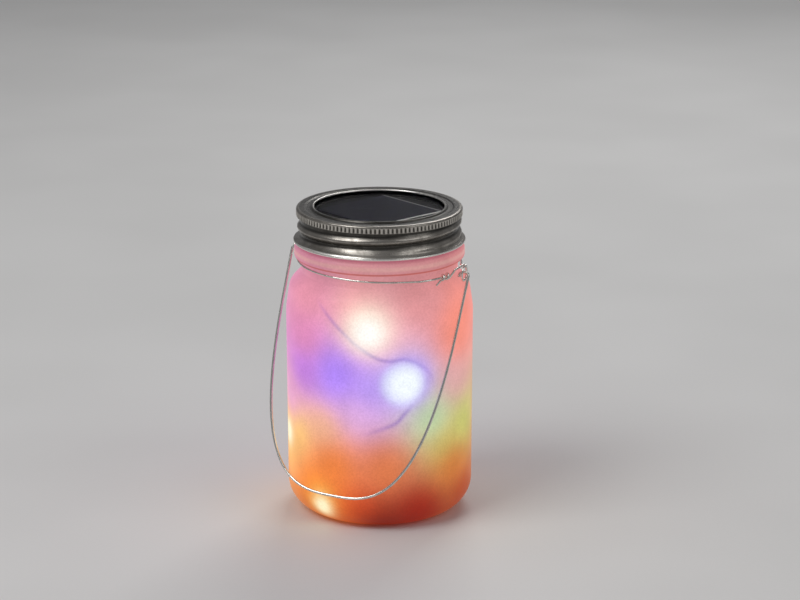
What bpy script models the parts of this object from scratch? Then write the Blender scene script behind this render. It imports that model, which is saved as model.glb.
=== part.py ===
"""Solar mason jar lantern: a frosted screw-top jar with a solar lid, a string of lights and a wire handle.

Metres, +Z up. The origin is the centre of the jar's base. The handle turns about an axis that runs
along X, a little lower at +X, and hangs in front of the jar, at -Y.
"""
import math

import bmesh
import bpy
import numpy as np
from mathutils import Matrix, Vector

MM = 0.001
GAP = 0.3 * MM

# Jar
JAR_RADIUS = 41.3 * MM
JAR_FOOT_RADIUS = 41.0 * MM
HEEL_RADIUS = 13.0 * MM
GLASS = 3.0 * MM
FLOOR_Z = 4.5 * MM
WALL_TOP_Z = 92.0 * MM
SHOULDER_RADIUS = 39.6 * MM
SHOULDER_Z = 103.4 * MM
NECK_RADIUS = 34.5 * MM
NECK_LOW_Z = 108.6 * MM
NECK_HIGH_Z = 114.6 * MM
BEAD_RADIUS = 37.5 * MM
BEAD_LOW_Z = 115.2 * MM
BEAD_HIGH_Z = 121.0 * MM
FINISH_RADIUS = 33.2 * MM
MOUTH_RADIUS = 29.8 * MM
RIM_Z = 132.9 * MM
INNER_SHOULDER_RADIUS = 36.9 * MM
INNER_SHOULDER_Z = 101.7 * MM
INNER_NECK_RADIUS = 31.3 * MM
INNER_NECK_LOW_Z = 107.6 * MM
INNER_NECK_HIGH_Z = 119.0 * MM
MOUTH_LOW_Z = 121.5 * MM

# Screw thread shared by the jar's neck and the band
PITCH = 5.08 * MM
THREAD_Z = 129.75 * MM
THREAD_ANGLE = math.radians(-65)
JAR_THREAD = (math.radians(-365), math.radians(95))
BAND_THREAD = (math.radians(-440), math.radians(215))
THREAD_FADE = math.radians(25)
ROUND_STEPS = 42

# Screw band
SHEET = 0.5 * MM
OPENING_RADIUS = 28.6 * MM
BAND_TOP_Z = 137.0 * MM
KNURL_RADIUS = 36.5 * MM
KNURL_LOW_Z = 133.5 * MM
BAND_RADIUS = 34.7 * MM
FLARE_RADIUS = 37.8 * MM
FLARE_Z = 122.4 * MM

# Solar unit: the tray under the band, the housing below it, and the square cell
FLANGE_RADIUS = 35.3 * MM
FLANGE_TOP_Z = 136.2 * MM
FLANGE_LOW_Z = 134.5 * MM
TRAY_RADIUS = 29.0 * MM
TRAY_LOW_Z = 132.2 * MM
RECESS_RADIUS = 28.1 * MM
RECESS_Z = 133.3 * MM
WINDOW_RADIUS = 31.0 * MM
WINDOW_THICKNESS = 0.9 * MM
CELL_SIDE = 39.0 * MM
CELL_ANGLE = math.radians(-24)
HOUSING_RADIUS = 28.0 * MM
HOUSING_WALL = 1.4 * MM
HOUSING_LOW_Z = 114.5 * MM
HOUSING_TOP_Z = TRAY_LOW_Z - GAP
HOUSING_FLOOR_Z = HOUSING_LOW_Z + HOUSING_WALL
BOSS_RADIUS = 3.0 * MM
BOSS_RING = 22.0 * MM
BOSS_ANGLES = [math.radians(a) for a in (90, 205, 335)]
SCREW_RADIUS = 1.1 * MM
SCREW_HEAD_RADIUS = 2.1 * MM

# Battery compartment, across the back half of the housing
BATTERY_RADIUS = 5.0 * MM
BATTERY_LENGTH = 29.0 * MM
BATTERY_Y = 8.0 * MM
BATTERY_Z = HOUSING_FLOOR_Z + 6.2 * MM
DOOR_SIZE = (39.0 * MM, 12.0 * MM)

# Circuit board and switch, in the front half
BOARD_SIZE = (23.0 * MM, 13.0 * MM, 1.2 * MM)
BOARD_PLACE = (5.0 * MM, -12.0 * MM, 126.0 * MM)
SWITCH_PLACE = (5.0 * MM, -14.0 * MM)
SWITCH_BODY = (8.6 * MM, 4.2 * MM, 3.6 * MM)
SWITCH_TRAVEL = 2.0 * MM
KNOB_SIZE = (2.4 * MM, 2.0 * MM, 4.0 * MM)
EXIT_PLACE = (-9.0 * MM, -16.0 * MM)
GROMMET_RADIUS = 2.2 * MM
LEAD_RADIUS = 0.5 * MM

# Neck wire and handle
NECK_WIRE_Z = 112.8 * MM
NECK_TILT = math.radians(2.0)
NECK_WIRE_RADIUS = 0.5 * MM
RING_RADIUS = 36.0 * MM
BACK_ARC = (17, 163)
FRONT_ARC = (197, 307)
TIED_ARC = (323, 348)
EYE_RADIUS = 3.4 * MM
EYE_X = 39.95 * MM
EYE_STEPS = 14
COIL_PITCH = 2.6 * NECK_WIRE_RADIUS
CLOSURE_OUT = 1.3 * MM
CLOSURE_TURNS = 2
CLOSURE_STEPS = 8
CLOSURE_START = math.radians(-20)
CLOSURE_END = math.radians(-11)
HANDLE_WIRE_RADIUS = 0.65 * MM
HANDLE_DROP = 105.7 * MM
HANDLE_HALF_WIDTH = 42.45 * MM
HANDLE_REST = math.radians(23.6)
HANDLE_BOTTOM_POWER = 0.68
HANDLE_SIDE_POWER = 0.66
HANDLE_STEPS = 22
HOOK_X = 42.7 * MM
HOOK_TAIL_X = 38.5 * MM
HOOK_BEND = 1.3 * MM

# Light string
STRING_RADIUS = 0.4 * MM
LIGHT_COUNT = 12
FIRST_LIGHT = 12.0 * MM
LIGHT_PITCH = 40.0 * MM
LIGHT_RADIUS = 1.6 * MM
STRING_POINTS = 70

# The string's route as angle in degrees, distance from the jar's axis and height, both in mm.
# It drops from the lid, curls once on the front of the glass, and winds round the jar.
STRING_ROUTE = [
    (-119, 18.4, 109.3), (-118, 20, 105.5), (-114, 26, 102), (-107, 31.5, 98.5), (-99, 35, 95.5),
    (-89, 37, 90.5), (-78, 37.2, 85.5), (-67, 37.2, 81), (-57, 37.2, 79), (-47, 37.2, 77.5),
    (-38, 37.2, 74.5), (-32, 37.2, 69), (-31, 37.2, 62), (-37, 37.2, 56.5), (-46, 37.2, 53.5),
    (-56, 37.2, 50), (-68, 37.2, 46.5), (-84, 37.2, 43), (-100, 37.2, 41), (-118, 37.2, 39),
    (-136, 37.2, 37), (-148, 37.2, 33), (-154, 36.8, 26), (-150, 35, 17), (-139, 32.6, 10.5),
    (-124, 31, 7.4), (-107, 30.5, 6.6), (-90, 30.5, 6.6), (-72, 30.5, 6.6), (-54, 31, 7.2),
    (-37, 33, 10), (-23, 35.6, 17), (-14, 37, 26), (-12, 37.2, 37), (-11, 37.2, 48),
    (-6, 37.2, 59), (1, 37.2, 70), (12, 37.2, 79), (32, 37.2, 81), (56, 37.2, 77),
    (80, 37.2, 73), (105, 37.2, 69.5), (130, 37.2, 66.5), (155, 37.2, 64), (180, 37.2, 62),
    (196, 37.2, 61),
]


def empty_scene():
    for old in list(bpy.data.objects):
        bpy.data.objects.remove(old, do_unlink=True)


def new_collection(name):
    group = bpy.data.collections.new(name)
    bpy.context.scene.collection.children.link(group)
    return group


def finish(name, colour, roughness, metallic=0.0, alpha=1.0):
    """A plain Principled material."""
    made = bpy.data.materials.new(name)
    made.use_nodes = True
    shader = made.node_tree.nodes["Principled BSDF"]
    shader.inputs["Base Color"].default_value = (*colour, 1.0)
    shader.inputs["Roughness"].default_value = roughness
    shader.inputs["Metallic"].default_value = metallic
    shader.inputs["Alpha"].default_value = alpha
    return made


def place(body, name, group, material, smooth=True):
    """Names an object, gives it its material and puts it in its collection."""
    body.name = name
    body.data.name = name
    for other in list(body.users_collection):
        other.objects.unlink(body)
    group.objects.link(body)
    body.data.materials.clear()
    body.data.materials.append(material)
    if smooth and body.type == "MESH":
        body.data.shade_smooth()
        body.data.set_sharp_from_angle(angle=math.radians(35))
    return body


def rounded(corners, step=math.radians(30)):
    """An outline through (x, z, radius) corners, each rounded with an arc of its radius."""
    outline = []
    for i, (x, z, radius) in enumerate(corners):
        corner = Vector((x, z))
        if radius == 0 or i in (0, len(corners) - 1):
            outline.append(corner)
            continue
        before = (Vector(corners[i - 1][:2]) - corner).normalized()
        after = (Vector(corners[i + 1][:2]) - corner).normalized()
        turn = math.pi - before.angle(after)
        reach = radius * math.tan(turn / 2)
        centre = corner + (before + after).normalized() * math.hypot(reach, radius)
        start = corner + before * reach - centre
        count = max(1, round(turn / step))
        sign = 1 if start.x * (corner.y - centre.y) - start.y * (corner.x - centre.x) > 0 else -1
        for k in range(count + 1):
            a = sign * turn * k / count
            spun = Vector((start.x * math.cos(a) - start.y * math.sin(a),
                           start.x * math.sin(a) + start.y * math.cos(a)))
            outline.append(centre + spun)
    return outline


def frozen(body):
    """The same object with its modifiers or bevel made into a plain mesh with welded caps."""
    bpy.context.view_layer.update()
    graph = bpy.context.evaluated_depsgraph_get()
    mesh = bpy.data.meshes.new_from_object(body.evaluated_get(graph))
    work = bmesh.new()
    work.from_mesh(mesh)
    bmesh.ops.remove_doubles(work, verts=work.verts, dist=0.000002)
    bmesh.ops.recalc_face_normals(work, faces=work.faces)
    work.to_mesh(mesh)
    work.free()
    solid = bpy.data.objects.new(body.name + "_solid", mesh)
    solid.matrix_world = body.matrix_world
    bpy.context.scene.collection.objects.link(solid)
    bpy.data.objects.remove(body, do_unlink=True)
    return solid


def turned(name, outline, steps=ROUND_STEPS, closed=False):
    """A shape turned about Z from an (x, z) outline that runs down its outer side."""
    mesh = bpy.data.meshes.new(name)
    verts = [(x, 0.0, z) for x, z in outline]
    edges = [(i, i + 1) for i in range(len(verts) - 1)]
    if closed:
        edges.append((len(verts) - 1, 0))
    mesh.from_pydata(verts, edges, [])
    body = bpy.data.objects.new(name, mesh)
    bpy.context.scene.collection.objects.link(body)
    screw = body.modifiers.new("Screw", "SCREW")
    screw.axis = "Z"
    screw.angle = 2 * math.pi
    screw.steps = steps
    screw.render_steps = steps
    screw.use_merge_vertices = True
    screw.merge_threshold = 0.00001
    return frozen(body)


def box(size, centre, bevel=0.0):
    """A box of the given size, centred on a point."""
    mesh = bpy.data.meshes.new("box")
    work = bmesh.new()
    bmesh.ops.create_cube(work, size=1.0, matrix=Matrix.Diagonal((*size, 1.0)))
    work.to_mesh(mesh)
    work.free()
    body = bpy.data.objects.new("box", mesh)
    body.location = centre
    bpy.context.scene.collection.objects.link(body)
    if bevel:
        edge = body.modifiers.new("Bevel", "BEVEL")
        edge.width = bevel
        edge.segments = 1
    return body


def rod(radius, low, high, centre=(0.0, 0.0), sides=24, top_radius=None):
    """An upright cylinder or cone between two heights."""
    mesh = bpy.data.meshes.new("rod")
    work = bmesh.new()
    top = radius if top_radius is None else top_radius
    bmesh.ops.create_cone(work, cap_ends=True, segments=sides, radius1=radius, radius2=top,
                          depth=high - low)
    work.to_mesh(mesh)
    work.free()
    body = bpy.data.objects.new("rod", mesh)
    body.location = (centre[0], centre[1], (low + high) / 2)
    bpy.context.scene.collection.objects.link(body)
    return body


def wire(points, radius):
    """A round wire along points, as a curve with filled ends."""
    curve = bpy.data.curves.new("wire", "CURVE")
    curve.dimensions = "3D"
    curve.bevel_depth = radius
    curve.bevel_resolution = 2
    curve.use_fill_caps = True
    spline = curve.splines.new("POLY")
    spline.points.add(len(points) - 1)
    for point, place_at in zip(spline.points, points):
        point.co = (*place_at, 1.0)
    body = bpy.data.objects.new("wire", curve)
    bpy.context.scene.collection.objects.link(body)
    return body


def smooth_path(knots, count):
    """Evenly spaced points along a Catmull-Rom curve through the knots."""
    knots = np.array(knots, float)
    ends = np.vstack([2 * knots[0] - knots[1], knots, 2 * knots[-1] - knots[-2]])
    dense = []
    for a, b, c, d in zip(ends, ends[1:], ends[2:], ends[3:]):
        for t in np.linspace(0, 1, 24, endpoint=False):
            dense.append(0.5 * (2 * b + (c - a) * t + (2 * a - 5 * b + 4 * c - d) * t ** 2
                                + (3 * b - a - 3 * c + d) * t ** 3))
    dense = np.array(dense + [knots[-1]])
    run = np.concatenate([[0], np.cumsum(np.linalg.norm(np.diff(dense, axis=0), axis=1))])
    even = np.linspace(0, run[-1], count)
    return np.stack([np.interp(even, run, dense[:, i]) for i in range(3)], axis=1)


def boolean(body, others, operation, tools):
    """Cuts or joins other solids; the others stay in the cutters' collection."""
    for other in others:
        step = body.modifiers.new(operation.title(), "BOOLEAN")
        step.operation = operation
        step.object = other
        for group in list(other.users_collection):
            group.objects.unlink(other)
        tools.objects.link(other)
        other.hide_render = True
        other.display_type = "WIRE"
    return body


def thread_bump(angle, z, span, half_width, height):
    """How far a helical rib stands out at an angle and height, within a span of helix angles."""
    turn = round((z - THREAD_Z) / PITCH - (angle - THREAD_ANGLE) / (2 * math.pi))
    along = angle - THREAD_ANGLE + 2 * math.pi * turn
    off = z - THREAD_Z - PITCH * along / (2 * math.pi)
    ends = min(along - span[0], span[1] - along) / THREAD_FADE
    if abs(off) >= half_width or ends <= 0:
        return 0.0
    return height * min(1.0, ends) * math.cos(math.pi * off / (2 * half_width)) ** 2


def add_thread(body, low, high, **rib):
    """Pushes the outer rows of a turned mesh out along the thread."""
    for vert in body.data.vertices:
        x, y, z = vert.co
        radius = math.hypot(x, y)
        if radius > MOUTH_RADIUS + 2 * MM and low < z < high:
            bump = thread_bump(math.atan2(y, x), z, **rib)
            vert.co.x *= 1 + bump / radius
            vert.co.y *= 1 + bump / radius
    return body


def ladder(radius, high, low, rows):
    """Plain outline corners down a straight wall."""
    return [(radius, high + (low - high) * k / rows, 0) for k in range(rows + 1)]


def make_jar(group):
    """The frosted glass jar: body, shoulder, wire groove, bead and threaded neck."""
    inner = JAR_RADIUS - GLASS
    corners = [
        (0, FLOOR_Z, 0), (inner - 0.3 * MM, FLOOR_Z, 9 * MM), (inner, WALL_TOP_Z, 22 * MM),
        (INNER_SHOULDER_RADIUS, INNER_SHOULDER_Z, 6 * MM), (INNER_NECK_RADIUS, INNER_NECK_LOW_Z, 2 * MM),
        (INNER_NECK_RADIUS, INNER_NECK_HIGH_Z, 3 * MM), (MOUTH_RADIUS, MOUTH_LOW_Z, 3 * MM),
        (MOUTH_RADIUS, RIM_Z, 0.8 * MM), (FINISH_RADIUS, RIM_Z, 0.8 * MM),
        *ladder(FINISH_RADIUS, RIM_Z - 1 * MM, 122.2 * MM, 8),
        (FINISH_RADIUS, 121.3 * MM, 0.7 * MM), (BEAD_RADIUS, BEAD_HIGH_Z, 3 * MM),
        (BEAD_RADIUS, BEAD_LOW_Z, 1.5 * MM), (NECK_RADIUS, NECK_HIGH_Z, 0.8 * MM),
        (NECK_RADIUS, NECK_LOW_Z, 1.2 * MM), (SHOULDER_RADIUS, SHOULDER_Z, 7 * MM),
        (JAR_RADIUS, WALL_TOP_Z, 22 * MM), (JAR_FOOT_RADIUS, 0, HEEL_RADIUS), (0, 0, 0),
    ]
    jar = turned("jar", rounded(corners, math.radians(42)))
    add_thread(jar, MOUTH_LOW_Z + 0.5 * MM, RIM_Z - 0.7 * MM, span=JAR_THREAD, half_width=1.8 * MM,
               height=1.5 * MM)
    glass = finish("frosted_glass", (0.95, 0.72, 0.70), 0.5, alpha=0.6)
    return place(jar, "glass_jar", group, glass)


def make_band(group):
    """The rolled sheet screw band, with its opening, rim, helical bead and flared edge."""
    corners = [
        (OPENING_RADIUS, BAND_TOP_Z - 0.4 * MM, 0), (OPENING_RADIUS, BAND_TOP_Z + 0.5 * MM, 0.4 * MM),
        (OPENING_RADIUS + 1.3 * MM, BAND_TOP_Z, 0.8 * MM), (KNURL_RADIUS, BAND_TOP_Z, 0.9 * MM),
        (KNURL_RADIUS, KNURL_LOW_Z, 0.5 * MM),
        *ladder(BAND_RADIUS, KNURL_LOW_Z - 0.4 * MM, 124.6 * MM, 7),
        (FLARE_RADIUS - 0.8 * MM, FLARE_Z + 0.9 * MM, 0), (FLARE_RADIUS, FLARE_Z, 0),
    ]
    band = turned("band", rounded(corners, math.radians(45)))
    add_thread(band, FLARE_Z + 0.4 * MM, KNURL_LOW_Z - 0.5 * MM, span=BAND_THREAD, half_width=2.4 * MM,
               height=1.4 * MM)
    shell = band.modifiers.new("Solidify", "SOLIDIFY")
    shell.thickness = SHEET
    shell.offset = -1
    steel = finish("band_steel", (0.44, 0.42, 0.40), 0.42, 1.0)
    return place(band, "screw_band", group, steel)


def ring_point(angle, out=0.0):
    """A point on the neck wire's ring, in the wire's own tilted plane."""
    radius = RING_RADIUS + out
    return Vector((radius * math.cos(angle), radius * math.sin(angle), 0.0))


def ring_arc(first, last, count, out=0.0):
    """Points along the ring between two angles in degrees."""
    return [ring_point(math.radians(a), out) for a in np.linspace(first, last, count)]


def eye_points(side):
    """One coil of the neck wire, turned sideways into an eye that the handle hooks into.

    At +X (side 1) the wire comes and goes at the top of the eye, and at -X (side -1) at the bottom.
    """
    points = []
    for k in range(EYE_STEPS + 1):
        turn = 2 * math.pi * k / EYE_STEPS
        points.append(Vector((side * (EYE_X + COIL_PITCH * k / EYE_STEPS),
                              side * EYE_RADIUS * math.sin(turn),
                              side * EYE_RADIUS * math.cos(turn))))
    return points


def closure_points():
    """The wire's first end, wound twice round its last stretch beside the +X eye."""
    count = CLOSURE_STEPS * CLOSURE_TURNS
    winding = 2 * NECK_WIRE_RADIUS + GAP
    points = []
    for k in range(count + 1):
        along = CLOSURE_START + (CLOSURE_END - CLOSURE_START) * k / count
        turn = 2 * math.pi * CLOSURE_TURNS * k / count - math.pi / 2
        outward = Vector((math.cos(along), math.sin(along), 0.0))
        middle = ring_point(along, CLOSURE_OUT)
        points.append(middle + winding * (outward * math.cos(turn) + Vector((0, 0, math.sin(turn)))))
    return points


def make_neck_wire(group, axis):
    """The wire tied round the jar's neck, with an eye at each side."""
    right, left = eye_points(1), eye_points(-1)
    back = ring_arc(*BACK_ARC, 23)
    front = ring_arc(*FRONT_ARC, 18)
    tied = ring_arc(*TIED_ARC, 4, CLOSURE_OUT)
    cut_end = closure_points()
    stub = [cut_end[0] + Vector((-1.5 * MM, -1.2 * MM, -2.2 * MM))]
    lead = [Vector((EYE_X - 1.2 * MM, -6 * MM, EYE_RADIUS - 0.8 * MM))]
    path = stub + cut_end + lead + right + back + left + front + tied
    tie = finish("neck_wire_steel", (0.62, 0.60, 0.57), 0.3, 1.0)
    body = place(wire(path, NECK_WIRE_RADIUS), "neck_wire", group, tie)
    body.parent = axis
    return body


def make_handle(group, axis):
    """The bail handle: a wide wire loop whose bent-over ends hook into the eyes."""
    half = []
    for k in range(HANDLE_STEPS):
        t = math.pi / 2 * (1 - k / HANDLE_STEPS)
        half.append((HANDLE_HALF_WIDTH * math.cos(t) ** HANDLE_BOTTOM_POWER,
                     -HANDLE_DROP * math.sin(t) ** HANDLE_SIDE_POWER))
    half.append((HOOK_X, -2.5 * HOOK_BEND))
    for centre_x, first in ((HOOK_X - HOOK_BEND, 0), (HOOK_TAIL_X + HOOK_BEND, 90)):
        for a in range(first, first + 91, 30):
            turn = math.radians(a)
            half.append((centre_x + HOOK_BEND * math.cos(turn), HOOK_BEND * (math.sin(turn) - 1)))
    half.append((HOOK_TAIL_X, -1.7 * HOOK_BEND))
    whole = [(-x, z) for x, z in reversed(half[1:])] + half
    body = wire([(x, 0.0, z) for x, z in whole], HANDLE_WIRE_RADIUS)
    steel = finish("handle_steel", (0.62, 0.60, 0.57), 0.28, 1.0)
    place(body, "handle_wire", group, steel)
    body.parent = axis
    body.rotation_euler = (-HANDLE_REST, 0, 0)
    return body


def make_tray(group, tools):
    """The lid's black tray: a flange that snaps under the band, a recess for the cell, three bosses."""
    corners = [
        (0, RECESS_Z, 0), (RECESS_RADIUS, RECESS_Z, 0), (RECESS_RADIUS, FLANGE_TOP_Z - 1.3 * MM, 0),
        (WINDOW_RADIUS + GAP, FLANGE_TOP_Z - 1.3 * MM, 0), (WINDOW_RADIUS + GAP, FLANGE_TOP_Z, 0),
        (FLANGE_RADIUS, FLANGE_TOP_Z, 0.5 * MM), (FLANGE_RADIUS, FLANGE_LOW_Z, 0.4 * MM),
        (TRAY_RADIUS, FLANGE_LOW_Z, 0.3 * MM), (TRAY_RADIUS, TRAY_LOW_Z, 0.4 * MM), (0, TRAY_LOW_Z, 0),
    ]
    tray = turned("tray", rounded(corners, math.radians(60)), 32)
    black = finish("black_plastic", (0.02, 0.02, 0.022), 0.45)
    place(tray, "lid_tray", group, black)
    low = HOUSING_FLOOR_Z + GAP
    bosses = [rod(BOSS_RADIUS, low, TRAY_LOW_Z + 0.5 * MM, polar(BOSS_RING, a), 16) for a in BOSS_ANGLES]
    holes = [rod(SCREW_RADIUS + GAP, low - MM, low + 8 * MM, polar(BOSS_RING, a), 12)
             for a in BOSS_ANGLES]
    wire_holes = [rod(1.0 * MM, TRAY_LOW_Z - MM, RECESS_Z + MM, (x, -4 * MM), 10)
                  for x in (3 * MM, 7 * MM)]
    boolean(tray, bosses, "UNION", tools)
    boolean(tray, holes + wire_holes, "DIFFERENCE", tools)
    return tray


def polar(radius, angle):
    return (radius * math.cos(angle), radius * math.sin(angle))


def make_panel(group):
    """The clear window, the square solar cell and the board behind it."""
    window_low = FLANGE_TOP_Z - WINDOW_THICKNESS
    corners = [(0, FLANGE_TOP_Z - 0.1 * MM, 0), (WINDOW_RADIUS, FLANGE_TOP_Z - 0.1 * MM, 0.3 * MM),
               (WINDOW_RADIUS, window_low, 0), (0, window_low, 0)]
    clear = finish("clear_window", (0.05, 0.05, 0.06), 0.08, alpha=0.5)
    place(turned("window", rounded(corners), 32), "panel_window", group, clear)
    cell_low = RECESS_Z + 1.2 * MM
    silicon = finish("solar_silicon", (0.012, 0.013, 0.03), 0.25)
    cell = box((CELL_SIDE, CELL_SIDE, 0.4 * MM), (0, 0, cell_low + 0.2 * MM))
    cell.rotation_euler.z = CELL_ANGLE
    place(cell, "solar_cell", group, silicon)
    backing = rod(RECESS_RADIUS - GAP, RECESS_Z + GAP, cell_low - GAP, sides=32)
    board = finish("cell_backing", (0.01, 0.01, 0.012), 0.5)
    return place(backing, "cell_backing", group, board)


def make_gasket(group):
    """The soft ring between the jar's rim and the tray's flange."""
    middle = (RIM_Z + FLANGE_LOW_Z) / 2
    half = middle - RIM_Z - GAP
    corners = [(MOUTH_RADIUS + 0.4 * MM, middle + half), (FINISH_RADIUS - 0.3 * MM, middle + half),
               (FINISH_RADIUS - 0.3 * MM, middle - half), (MOUTH_RADIUS + 0.4 * MM, middle - half)]
    rubber = finish("gasket_rubber", (0.75, 0.74, 0.72), 0.7)
    return place(turned("gasket", corners, 32, closed=True), "sealing_gasket", group, rubber)


def make_housing(group, tools):
    """The white cup under the tray, open at the top, with holes for what passes its floor."""
    inner = HOUSING_RADIUS - HOUSING_WALL
    corners = [(0, HOUSING_FLOOR_Z, 0), (inner, HOUSING_FLOOR_Z, 1.2 * MM), (inner, HOUSING_TOP_Z, 0),
               (HOUSING_RADIUS, HOUSING_TOP_Z, 0), (HOUSING_RADIUS, HOUSING_LOW_Z, 2 * MM),
               (0, HOUSING_LOW_Z, 0)]
    housing = turned("housing", rounded(corners, math.radians(45)), 32)
    white = finish("white_plastic", (0.85, 0.85, 0.83), 0.5)
    place(housing, "lower_housing", group, white)
    middle = HOUSING_LOW_Z + HOUSING_WALL / 2
    deep = 3 * HOUSING_WALL
    cuts = [box((DOOR_SIZE[0] + 2 * GAP, DOOR_SIZE[1] + 2 * GAP, deep), (0, BATTERY_Y, middle))]
    slot = (KNOB_SIZE[0] + SWITCH_TRAVEL + 2 * GAP, KNOB_SIZE[1] + 2 * GAP, deep)
    cuts.append(box(slot, (SWITCH_PLACE[0] + SWITCH_TRAVEL / 2, SWITCH_PLACE[1], middle)))
    low, high = middle - deep / 2, middle + deep / 2
    cuts.append(rod(GROMMET_RADIUS + GAP, low, high, EXIT_PLACE, 16))
    for angle in BOSS_ANGLES:
        cuts.append(rod(SCREW_RADIUS + GAP, low, high, polar(BOSS_RING, angle), 12))
    boolean(housing, cuts, "DIFFERENCE", tools)
    return housing


def screw_body(name, group, steel, centre, head_z, length, tools):
    """A small screw whose domed, cross-slotted head faces down."""
    head = 1.2 * MM
    corners = [(0, head_z + length, 0), (SCREW_RADIUS * 0.5, head_z + length, 0),
               (SCREW_RADIUS, head_z + length - MM, 0), (SCREW_RADIUS, head_z, 0),
               (SCREW_HEAD_RADIUS, head_z, 0), (SCREW_HEAD_RADIUS, head_z - head, 0.7 * MM),
               (0, head_z - head, 0)]
    body = turned("screw", rounded(corners, math.radians(45)), 16)
    body.location = (*centre, 0)
    place(body, name, group, steel)
    slots = [box((a, b, 0.9 * MM), (*centre, head_z - head))
             for a, b in ((2.4 * MM, 0.5 * MM), (0.5 * MM, 2.4 * MM))]
    boolean(body, slots, "DIFFERENCE", tools)
    return body


def make_screws(group, tools):
    steel = finish("screw_steel", (0.55, 0.54, 0.52), 0.35, 1.0)
    for i, angle in enumerate(BOSS_ANGLES):
        screw_body(f"housing_screw_{i + 1}", group, steel, polar(BOSS_RING, angle),
                   HOUSING_LOW_Z - GAP, 8 * MM, tools)


def make_battery(group, tools):
    """The rechargeable cell, its door, the spring and the plate at its ends."""
    steel = finish("battery_steel", (0.7, 0.69, 0.66), 0.3, 1.0)
    half = BATTERY_LENGTH / 2
    corners = [(0, half + MM, 0), (1.6 * MM, half + MM, 0), (1.6 * MM, half, 0),
               (BATTERY_RADIUS, half, 0.6 * MM), (BATTERY_RADIUS, -half, 0.6 * MM), (0, -half, 0)]
    battery = turned("battery", rounded(corners, math.radians(45)), 28)
    battery.rotation_euler.y = math.radians(90)
    battery.location = (0, BATTERY_Y, BATTERY_Z)
    place(battery, "battery_cell", group, steel)
    sleeve_radius = BATTERY_RADIUS + GAP
    corners = [(sleeve_radius, half - MM), (sleeve_radius + 0.3 * MM, half - MM),
               (sleeve_radius + 0.3 * MM, MM - half), (sleeve_radius, MM - half)]
    sleeve = turned("sleeve", corners, 28, closed=True)
    sleeve.rotation_euler.y = math.radians(90)
    sleeve.location = battery.location
    place(sleeve, "battery_sleeve", group, finish("battery_wrap", (0.1, 0.35, 0.16), 0.4))
    brass = finish("contact_brass", (0.75, 0.68, 0.45), 0.3, 1.0)
    for name, x in (("contact_plate", half + 1.6 * MM), ("spring_plate", -half - 3.4 * MM)):
        plate = box((0.4 * MM, 8 * MM, 8 * MM), (x, BATTERY_Y, BATTERY_Z), 0.1 * MM)
        place(plate, name, group, brass)
    coil = []
    for k in range(28):
        turn = 2 * math.pi * k / 9
        radius = 3.4 * MM - 1.4 * MM * k / 27
        x = -half - 2.85 * MM + 2.2 * MM * k / 27
        coil.append((x, BATTERY_Y + radius * math.cos(turn), BATTERY_Z + radius * math.sin(turn)))
    place(wire(coil, 0.25 * MM), "contact_spring", group, brass)
    door = box((*DOOR_SIZE, HOUSING_WALL), (0, BATTERY_Y, HOUSING_LOW_Z + HOUSING_WALL / 2), 0.3 * MM)
    place(door, "battery_door", group, finish("door_plastic", (0.85, 0.85, 0.83), 0.5), False)
    post = (DOOR_SIZE[0] / 2 - 2.2 * MM, BATTERY_Y)
    hole = rod(SCREW_RADIUS + GAP, HOUSING_LOW_Z - MM, HOUSING_FLOOR_Z + MM, post, 12)
    boolean(door, [hole], "DIFFERENCE", tools)
    small = finish("door_screw_steel", (0.55, 0.54, 0.52), 0.35, 1.0)
    screw_body("battery_door_screw", group, small, post, HOUSING_LOW_Z - GAP, 3 * MM, tools)


def make_electronics(group):
    """The charging and driver board, with the parts on its underside."""
    board = box(BOARD_SIZE, BOARD_PLACE, 0.2 * MM)
    place(board, "circuit_board", group, finish("board_green", (0.05, 0.28, 0.12), 0.4), False)
    x, y, z = BOARD_PLACE
    under = z - BOARD_SIZE[2] / 2 - GAP
    chip = box((4 * MM, 3 * MM, 1.6 * MM), (x - 7 * MM, y - 2 * MM, under - 0.8 * MM), 0.2 * MM)
    place(chip, "driver_chip", group, finish("chip_black", (0.02, 0.02, 0.02), 0.5), False)
    coil = rod(1.5 * MM, under - 3 * MM, under, (x + 8 * MM, y - 2.5 * MM), 16)
    place(coil, "inductor", group, finish("inductor_green", (0.12, 0.3, 0.2), 0.4))
    can = rod(1.2 * MM, under - 3.4 * MM, under, (x + 8 * MM, y + 3 * MM), 16)
    place(can, "capacitor", group, finish("capacitor_black", (0.05, 0.05, 0.06), 0.35))


def make_switch(group):
    """The slide switch: a fixed body on the floor, and a knob that reaches out below."""
    x, y = SWITCH_PLACE
    middle = x + SWITCH_TRAVEL / 2
    low = HOUSING_FLOOR_Z + KNOB_SIZE[2] * 0.2 + 2 * GAP
    body = box(SWITCH_BODY, (middle, y, low + SWITCH_BODY[2] / 2), 0.2 * MM)
    place(body, "switch_body", group, finish("switch_steel", (0.6, 0.6, 0.6), 0.35, 1.0), False)
    knob = box(KNOB_SIZE, (x, y, low - GAP - KNOB_SIZE[2] / 2), 0.3 * MM)
    place(knob, "switch_knob", group, finish("knob_black", (0.03, 0.03, 0.03), 0.5), False)


def make_exit(group):
    """The soft tapered grommet where the light string leaves the housing."""
    low = HOUSING_LOW_Z - 4.5 * MM
    bore = STRING_RADIUS + GAP
    corners = [(bore, HOUSING_FLOOR_Z + MM), (GROMMET_RADIUS, HOUSING_FLOOR_Z + MM),
               (GROMMET_RADIUS, HOUSING_LOW_Z - 0.5 * MM), (1.2 * MM, low), (bore, low)]
    grommet = turned("grommet", corners, 16, closed=True)
    grommet.location = (*EXIT_PLACE, 0)
    place(grommet, "cable_grommet", group, finish("grommet_rubber", (0.8, 0.8, 0.78), 0.6))


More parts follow.
